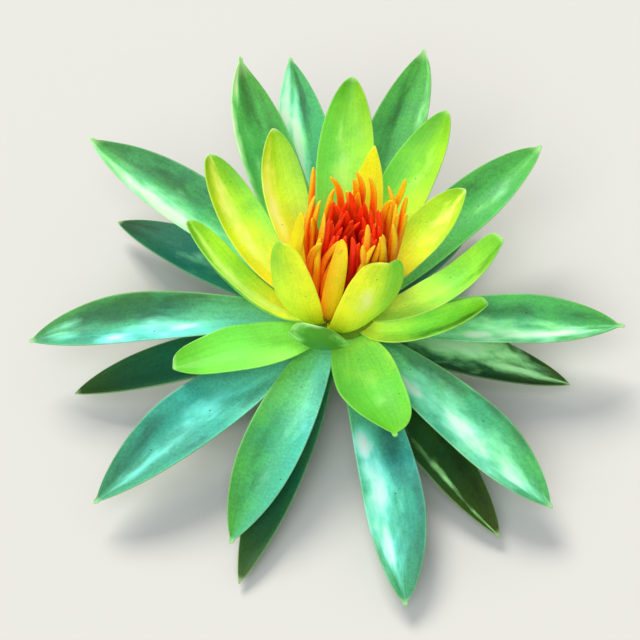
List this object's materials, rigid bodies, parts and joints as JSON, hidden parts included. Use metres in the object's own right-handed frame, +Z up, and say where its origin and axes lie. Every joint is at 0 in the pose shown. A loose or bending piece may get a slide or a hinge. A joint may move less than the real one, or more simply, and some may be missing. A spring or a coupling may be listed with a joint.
{
  "type": "water lily flower",
  "caption": "Open water lily flower with spreading blue-green outer petals, upright yellow-green inner petals and a tuft of red and orange stamens, on a cut stalk.",
  "frame": {"origin": "centre of the cut stalk's flat underside, on the surface that the flower rests on", "axes": "+Z up out of the flower, -Y towards the viewer of the picture, +X to the viewer's right"},
  "size_m": [0.1447, 0.1481, 0.0532],
  "materials": {
    "receptacle_green": "matte, fleshy",
    "sepal_green": "satin, waxy",
    "outer_petal": "satin, waxy, faintly ribbed along its length",
    "inner_petal": "satin, waxy",
    "cup_petal": "satin, waxy",
    "petaloid_yellow": "satin, waxy",
    "stamen_orange": "matte, powdery at the tips",
    "stamen_red": "matte",
    "stigma_yellow": "matte, moist"
  },
  "bodies": {
    "root": {"receptacle": "receptacle_green", "sepal_1": "sepal_green", "sepal_2": "sepal_green", "sepal_3": "sepal_green", "sepal_4": "sepal_green", "lower_petal_1": "sepal_green", "lower_petal_2": "sepal_green", "lower_petal_3": "sepal_green", "outer_petal_1": "outer_petal", "outer_petal_2": "outer_petal", "outer_petal_3": "outer_petal", "outer_petal_4": "outer_petal", "outer_petal_5": "outer_petal", "outer_petal_6": "outer_petal", "outer_petal_7": "outer_petal", "outer_petal_8": "outer_petal", "outer_petal_9": "outer_petal", "outer_petal_10": "outer_petal", "outer_petal_11": "outer_petal", "inner_petal_1": "inner_petal", "inner_petal_2": "inner_petal", "inner_petal_3": "inner_petal", "inner_petal_4": "inner_petal", "inner_petal_5": "inner_petal", "inner_petal_6": "inner_petal", "inner_petal_7": "inner_petal", "inner_petal_8": "inner_petal", "inner_petal_9": "inner_petal", "inner_petal_10": "inner_petal", "inner_petal_11": "inner_petal", "cup_petal_1": "cup_petal", "cup_petal_2": "cup_petal", "cup_petal_3": "cup_petal", "petaloid_1": "petaloid_yellow", "petaloid_2": "petaloid_yellow", "outer_stamens": "stamen_orange", "inner_stamens": "stamen_red", "stigma_disc": "stigma_yellow"}
  },
  "joints": []
}
